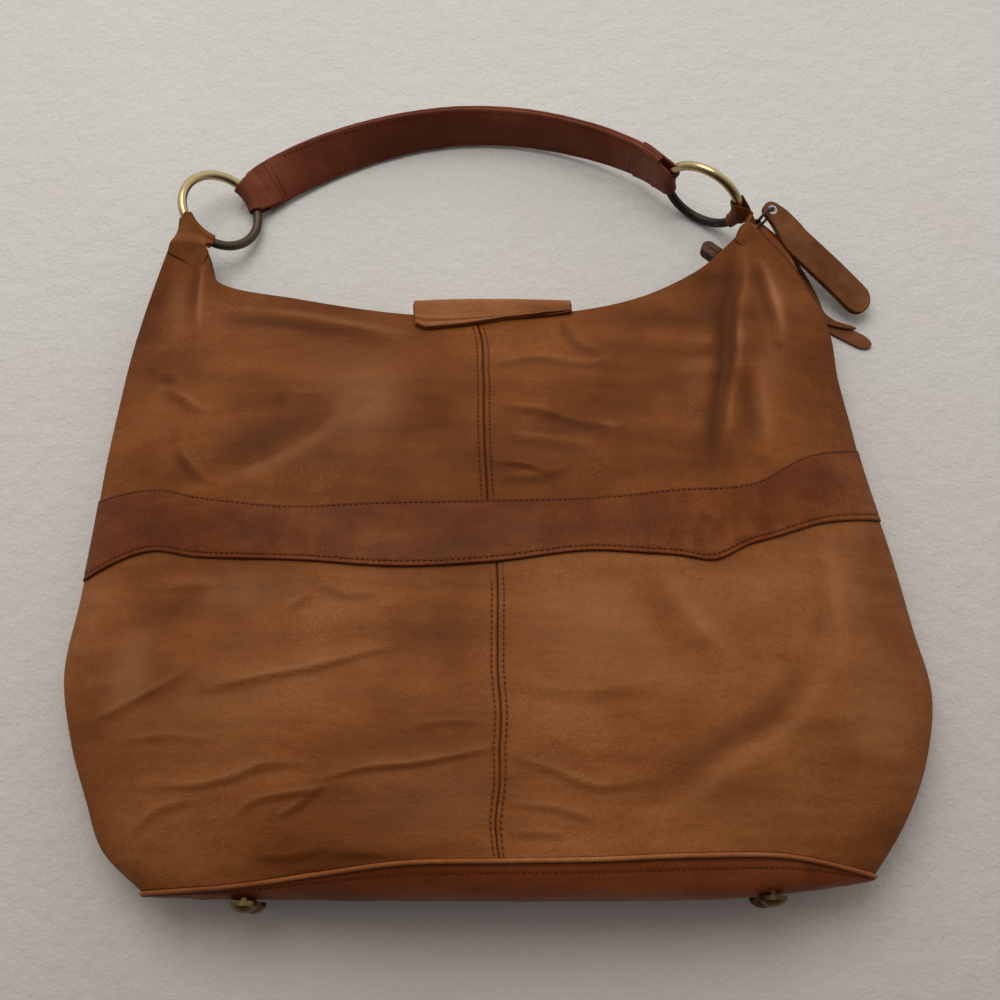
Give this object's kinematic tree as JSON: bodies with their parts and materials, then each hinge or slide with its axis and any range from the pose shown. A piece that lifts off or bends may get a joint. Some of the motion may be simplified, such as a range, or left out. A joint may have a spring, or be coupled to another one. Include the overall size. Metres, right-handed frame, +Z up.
{
  "type": "hobo bag",
  "caption": "Slouchy leather hobo bag lying on its front, with a swinging handle on spinning rings, a magnetic closing tab and a leather fob.",
  "frame": {"origin": "centre of the bounding box's bottom face, on the surface the bag lies on", "axes": "+X across the bag to the side with the fob, +Y from the base to the handle, +Z up from the surface through the back of the bag"},
  "size_m": [0.4107, 0.4332, 0.0635],
  "materials": {
    "tan_leather": "soft, lightly polished, worn",
    "band_leather": "soft, creased",
    "base_leather": "soft, creased",
    "strap_leather": "smooth, waxed",
    "tag_leather": "matte",
    "tab_leather": "soft, matte",
    "antique_brass": "antique, satin",
    "dark_metal": "dark, worn",
    "steel": "satin",
    "lining_cotton": "matte",
    "board": "matte",
    "loop_webbing": "fuzzy, matte"
  },
  "bodies": {
    "bag": {"back_upper_left": "tan_leather", "back_upper_right": "tan_leather", "back_band": "band_leather", "back_lower_left": "tan_leather", "back_lower_right": "tan_leather", "front_upper_left": "tan_leather", "front_upper_right": "tan_leather", "front_band": "band_leather", "front_lower_left": "tan_leather", "front_lower_right": "tan_leather", "base_panel": "base_leather", "base_board": "board", "base_piping": "tan_leather", "foot_studs": "antique_brass", "foot_washers": "steel", "lining_back": "lining_cotton", "lining_front": "lining_cotton", "lining_base": "lining_cotton", "inner_pocket": "lining_cotton", "facing_back": "tan_leather", "facing_front": "tan_leather", "mouth_loop": "loop_webbing", "closing_tab_root": "tab_leather", "snap_cap": "steel", "fob_keeper": "tag_leather"},
    "handle": {"strap": "strap_leather", "ring_tab_left": "tag_leather", "ring_tab_right": "tag_leather"},
    "ring_l": {"ring_left": "antique_brass"},
    "ring_r": {"ring_right": "antique_brass"},
    "tab": {"closing_tab": "tab_leather", "snap_magnet": "steel"},
    "jump_ring": {"fob_jump_ring": "dark_metal"},
    "tongue": {"fob_tongue_upper": "tag_leather", "fob_tongue_lower": "tag_leather", "fob_eyelet": "dark_metal"},
    "strips": {"fob_strips": "tag_leather"}
  },
  "joints": [
    {"name": "handle_swing", "type": "hinge", "parent": "bag", "child": "handle", "pos_m": [-0.16792, 0.12758, 0.02628], "axis": [0.9989, 0.0468, -0.0075], "range_deg": [-35, 75]},
    {"name": "ring_left_spin", "type": "hinge", "parent": "handle", "child": "ring_l", "pos_m": [-0.15405, 0.15093, 0.01762], "axis": [0.5299, 0, 0.848], "continuous": true},
    {"name": "ring_right_spin", "type": "hinge", "parent": "handle", "child": "ring_r", "pos_m": [0.11116, 0.15648, 0.024], "axis": [-0.515, -0.8572, 0], "continuous": true},
    {"name": "tab_open", "type": "hinge", "parent": "bag", "child": "tab", "pos_m": [-0.004, 0.08459, 0.0313], "axis": [1, 0, 0], "range_deg": [0, 140]},
    {"name": "fob_ring_turn", "type": "hinge", "parent": "bag", "child": "jump_ring", "pos_m": [0.13952, 0.13801, 0.02364], "axis": [0, 0, 1], "range_deg": [0, 20]},
    {"name": "fob_tongue_turn", "type": "hinge", "parent": "jump_ring", "child": "tongue", "pos_m": [0.14801, 0.1465, 0.02364], "axis": [0, 0, 1], "range_deg": [0, 40]},
    {"name": "fob_strips_turn", "type": "hinge", "parent": "jump_ring", "child": "strips", "pos_m": [0.14376, 0.14226, 0.02364], "axis": [0, 0, 1], "range_deg": [0, 20]}
  ]
}
